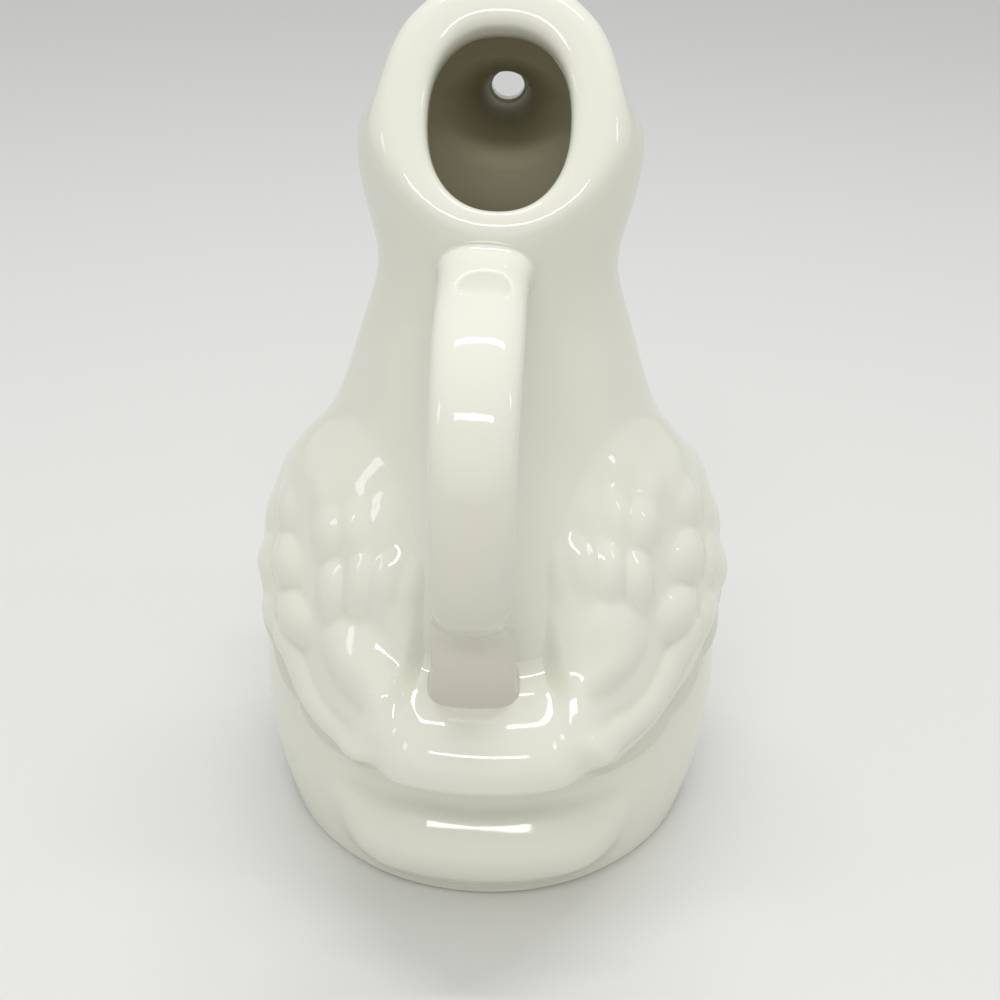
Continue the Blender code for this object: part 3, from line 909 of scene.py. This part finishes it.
def handle(material):
    """The strap, with a fillet on the nape and one on the tail."""
    places = np.linspace(*HANDLE_ENDS, HANDLE_ROWS)
    square = np.interp(places, *zip(*HANDLE_SQUARE))
    rings, ahead = strap(HANDLE, places, HANDLE_ROUND, square)
    rings = [ring + HANDLE_ASIDE for ring in rings]
    above, below = unit(rings[0] - rings[1]), unit(rings[-1] - rings[-2])
    top_count, foot_count = HANDLE_FILLET_ROWS
    top = landing(skin_level, rings[0], -ahead[0], HANDLE_FILLETS[0], top_count, above)
    foot = landing(seat_level, rings[-1], ahead[-1], HANDLE_FILLETS[1], foot_count, below)
    points, faces = capped(top[::-1] + rings + foot)
    make("duck_handle", points, faces, "handle", (material,))


def feather_lobes(angle, z):
    """Height of the rounded feathers over the wing."""
    half, _, _ = section(z)
    slant = np.hypot(1, np.gradient(SKIN[:, 1], SKIN[:, 0])[np.searchsorted(SKIN[:, 0], z)])
    total = np.ones_like(angle)
    for a, level, wide, high, turn, up in LOBES:
        x = np.radians(angle - a) * half
        y = (z - level) * slant
        c, s = math.cos(math.radians(turn)), math.sin(math.radians(turn))
        reach = ((x * c + y * s) / wide) ** 2 + ((y * c - x * s) / high) ** 2
        total += np.exp(np.maximum(up * (1 - reach), LOBE_LOWEST) / LOBE_SOFT)
    gap = np.full_like(angle, np.inf)
    for a, level in spline(SWEEP, np.linspace(0, len(SWEEP) - 1, SWEEP_SAMPLES)):
        gap = np.minimum(gap, (np.radians(angle - a) * half) ** 2 + ((z - level) * slant) ** 2)
    total += np.exp(np.maximum(SWEEP_UP * (1 - gap / SWEEP_HALF**2), LOBE_LOWEST) / LOBE_SOFT)
    return LOBE_UP * LOBE_SOFT * np.log(total)


def merged(a, b, soft):
    """The larger of two shares, with a fillet where they meet."""
    near = np.maximum(soft - np.abs(a - b), 0) / soft
    return np.maximum(a, b) + near**2 * soft / 4 * np.minimum(1, (a + b) / soft)


def distances(base):
    """How far each point of a wing is from its upper, lower, front and back edge."""
    down = np.linalg.norm(np.diff(base, axis=1), axis=-1)
    from_upper = np.concatenate([np.zeros((len(base), 1)), np.cumsum(down, 1)], 1)
    along = np.linalg.norm(np.diff(base[:, -1], axis=0), axis=-1)
    from_front = np.concatenate([[0], np.cumsum(along)])[:, None]
    return from_upper, from_upper[:, -1:] - from_upper, from_front, from_front[-1] - from_front


def wing(name, node, side, material):
    """A folded wing, with its coverts, the ledge of its flight feathers and their tips."""
    s = doubled(np.linspace(0, 1, WING_STEPS))
    t = np.concatenate([[0], np.linspace(0, 1, WING_ROWS)])
    upper = spline(WING_UPPER, s * (len(WING_UPPER) - 1))[:, None, :]
    lower = spline(WING_LOWER, s * (len(WING_LOWER) - 1))[:, None, :]
    place = upper * (1 - t[None, :, None]) + lower * t[None, :, None]
    angle, z = place[..., 0], place[..., 1]
    base, out = skin_frame(np.radians(angle), z)
    drape = WING_DRAPE * (1 - step(*WING_DRAPE_SIDE, angle))
    here = tail_here(np.radians(angle), z)
    base = base + tail_rise(z) * merged(here, drape, WING_BLEND)[..., None]
    covered = step(*WING_COVERED, here - drape)
    from_upper, from_lower, from_front, from_back = distances(base)
    shown = step(*WING_FRONT, from_front) * step(*WING_BACK, from_back) * (1 - covered)
    covert = step(WING_STEP_UP - WING_STEP_SOFT, WING_STEP_UP + WING_STEP_SOFT, from_lower)
    tips = np.abs(np.sin(math.pi * from_front / WING_TIPS))
    ledge = WING_LEDGE * (1 - WING_LEDGE_TIPS + WING_LEDGE_TIPS * tips) * step(*WING_LEDGE_BACK, from_back)
    relief = feather_lobes(angle, z + WING_DROP[side]) * step(*WING_RELIEF_TOP, from_upper)
    plump = WING_PLUMP * step(*WING_PLUMP_TOP, from_upper) + relief
    high = PATCH_LIFT + (plump * covert + ledge * (1 - covert)) * shown - WING_SUNK * covered
    # the lower edge turns under, over a quarter round
    notch = WING_NOTCH * (1 - tips**WING_NOTCH_ROUND) * step(*WING_NOTCH_BACK, from_back)
    close = np.clip((from_lower - notch) / WING_LIP, 0, 1)
    high = (high + PATCH_UNDER) * np.sqrt(1 - (1 - close) ** 2) - PATCH_UNDER
    for border in (np.s_[:, 0], np.s_[0, :], np.s_[-1, :]):
        high[border] = -PATCH_UNDER
    made = patch(name, base, out, out * high[..., None], side, node, material)
    # painted shade on the ledge below the coverts, in the thick tone
    painted_shade = (WING_PAINTED_SHADE * (1 - covert) * shown).ravel()
    paint_shade(made, np.concatenate([painted_shade, 0 * painted_shade]))


def glaze(name, foot=False, shaded_low=False, tones=TONES, gloss=GLOSS, shine=SHINE):
    """Glossy glaze, clouded and wavy, with the thick tone in the hollows as partly pooled glaze and partly
    painted shade, painted shade where a piece marks it or low down, or bare off the foot ring.
    """
    made = bpy.data.materials.new(name)
    made.use_nodes = True
    nodes, links = made.node_tree.nodes, made.node_tree.links
    shader = nodes["Principled BSDF"]
    shader.inputs["IOR"].default_value = IOR
    shader.inputs["Specular IOR Level"].default_value = shine
    place = nodes.new("ShaderNodeTexCoord").outputs["Object"]

    def noise(scale, detail):
        """Noise over the object's own place."""
        texture = nodes.new("ShaderNodeTexNoise")
        texture.inputs["Scale"].default_value = scale
        texture.inputs["Detail"].default_value = detail
        links.new(place, texture.inputs["Vector"])
        return texture.outputs["Fac"]

    def spread(value, low, high, start, end):
        """A value brought from one range to another."""
        change = nodes.new("ShaderNodeMapRange")
        for socket, number in zip(("From Min", "From Max", "To Min", "To Max"), (low, high, start, end)):
            change.inputs[socket].default_value = number
        links.new(value, change.inputs["Value"])
        return change.outputs["Result"]

    def mixed(share, first, second):
        """Two colours, written or from another node, mixed by a share."""
        mix = nodes.new("ShaderNodeMix")
        mix.data_type = "RGBA"
        links.new(share, mix.inputs["Factor"])
        for socket, colour in (("A", first), ("B", second)):
            target = [i for i in mix.inputs if i.name == socket and i.type == "RGBA"][0]
            if isinstance(colour, tuple):
                target.default_value = colour
            else:
                links.new(colour, target)
        return [o for o in mix.outputs if o.type == "RGBA"][0]

    cool, warm, thick = tones
    colour = mixed(spread(noise(*CLOUD), *CLOUD_RANGE, 0, 1), cool, warm)
    # thick tone in the creases: partly glaze pooled there, partly painted shade
    hollow = spread(nodes.new("ShaderNodeNewGeometry").outputs["Pointiness"], *HOLLOW, 1, 0)
    colour = mixed(hollow, colour, thick)
    # painted shade in the thick tone, where a piece marks it
    painted_shade = nodes.new("ShaderNodeAttribute")
    painted_shade.attribute_name = "painted_shade"
    colour = mixed(painted_shade.outputs["Fac"], colour, thick)
    rough = spread(noise(*SMEAR), *SMEAR_RANGE, *gloss)
    split = nodes.new("ShaderNodeSeparateXYZ")
    links.new(place, split.inputs["Vector"])
    # painted shade: the strap is darker low down, towards its foot
    if shaded_low:
        colour = mixed(spread(split.outputs["Z"], *PAINTED_SHADE_HEIGHTS, 1, 0), colour, GLAZE_PAINTED_SHADE)
    if foot:
        bare = spread(split.outputs["Z"], *BARE, 1, 0)
        colour = mixed(bare, colour, CLAY)
        more = nodes.new("ShaderNodeMath")
        more.operation = "MAXIMUM"
        links.new(rough, more.inputs[0])
        links.new(bare, more.inputs[1])
        rough = more.outputs["Value"]
    links.new(colour, shader.inputs["Base Color"])
    links.new(rough, shader.inputs["Roughness"])
    bump = None
    for (scale, detail), height in (WAVE, PEEL):
        layer = nodes.new("ShaderNodeBump")
        layer.inputs["Strength"].default_value = 1
        layer.inputs["Distance"].default_value = height
        links.new(noise(scale, detail), layer.inputs["Height"])
        if bump is not None:
            links.new(bump, layer.inputs["Normal"])
        bump = layer.outputs["Normal"]
    links.new(bump, shader.inputs["Normal"])
    return made


def placed(name, data, side, up, out, place):
    """A lamp or a camera at a place, which looks away from out."""
    made = bpy.data.objects.new(name, data)
    bpy.context.scene.collection.objects.link(made)
    rows = [[side[k], up[k], out[k], place[k]] for k in range(3)]
    made.matrix_world = Matrix([*rows, [0, 0, 0, 1]])
    return made


def area(name, place, aim, size, power):
    """A rectangular lamp."""
    lamp = bpy.data.lights.new(name, "AREA")
    lamp.shape = "RECTANGLE"
    lamp.size, lamp.size_y = size
    lamp.energy = power
    out = unit(np.array(place) - np.array(aim))
    side = unit(np.cross(AXIS_Z if abs(out[2]) < STEEP else AXIS_Y, out))
    placed(name, lamp, side, np.cross(out, side), out, place)


def camera():
    """The camera, turned, tipped down and rolled."""
    c, s = math.cos(CAMERA_TURN), math.sin(CAMERA_TURN)
    level, ahead = np.array([c, s, 0]), np.array([-s, c, 0])
    look = math.cos(CAMERA_DOWN) * ahead - math.sin(CAMERA_DOWN) * AXIS_Z
    tall = math.sin(CAMERA_DOWN) * ahead + math.cos(CAMERA_DOWN) * AXIS_Z
    right = math.cos(CAMERA_ROLL) * level + math.sin(CAMERA_ROLL) * tall
    up = -math.sin(CAMERA_ROLL) * level + math.cos(CAMERA_ROLL) * tall
    lens = bpy.data.cameras.new("camera")
    lens.lens = CAMERA_LENS
    lens.sensor_width = CAMERA_FILM
    lens.clip_start = CAMERA_NEAR
    bpy.context.scene.camera = placed("camera", lens, right, up, -look, CAMERA_PLACE)


def floor():
    """The plain pale floor."""
    mesh = bpy.data.meshes.new("floor")
    corners = [(x * STAGE_HALF, y * STAGE_HALF, 0) for x, y in ((-1, -1), (1, -1), (1, 1), (-1, 1))]
    mesh.from_pydata(corners, [], [(0, 1, 2, 3)])
    made = bpy.data.objects.new("floor", mesh)
    bpy.context.scene.collection.objects.link(made)
    pale = bpy.data.materials.new("floor_pale")
    pale.use_nodes = True
    shader = pale.node_tree.nodes["Principled BSDF"]
    shader.inputs["Base Color"].default_value = STAGE_PALE
    shader.inputs["Roughness"].default_value = STAGE_ROUGH
    mesh.materials.append(pale)


def sky():
    """The soft light from all round, and the background that is seen or mirrored."""
    world = bpy.data.worlds.new("studio")
    bpy.context.scene.world = world
    world.use_nodes = True
    nodes, links = world.node_tree.nodes, world.node_tree.links
    light = nodes["Background"]
    light.inputs["Color"].default_value = SKY
    light.inputs["Strength"].default_value = SKY_LIGHT
    seen = nodes.new("ShaderNodeBackground")
    seen.inputs["Color"].default_value = SKY
    seen.inputs["Strength"].default_value = SKY_SEEN
    path = nodes.new("ShaderNodeLightPath")
    share = path.outputs["Is Camera Ray"]
    for ray in ("Is Glossy Ray", "Is Transmission Ray"):
        either = nodes.new("ShaderNodeMath")
        either.operation = "MAXIMUM"
        links.new(share, either.inputs[0])
        links.new(path.outputs[ray], either.inputs[1])
        share = either.outputs["Value"]
    blend = nodes.new("ShaderNodeMixShader")
    links.new(share, blend.inputs[0])
    links.new(light.outputs[0], blend.inputs[1])
    links.new(seen.outputs[0], blend.inputs[2])
    links.new(blend.outputs[0], nodes["World Output"].inputs["Surface"])


# the inside glaze is a warmer, darker copy whose darkness is painted shade in the hollow
inner_glaze = glaze("glaze_inside", tones=TONES_INSIDE_SHADED, gloss=GLOSS_INSIDE, shine=SHINE_INSIDE)
body(glaze("glaze_body", foot=True), inner_glaze)
bill(glaze("glaze_bill"), inner_glaze)
# the handle's glaze carries painted shade low on the strap
handle(glaze("glaze_handle", shaded_low=True))
tail(glaze("glaze_tail"))
wing("duck_wing_left", "wing_left", -1, glaze("glaze_wing_left"))
wing("duck_wing_right", "wing_right", 1, glaze("glaze_wing_right"))

camera()
floor()
sky()
for lamp_row in LAMPS:
    area(*lamp_row)
bpy.context.scene.view_settings.view_transform = "Standard"
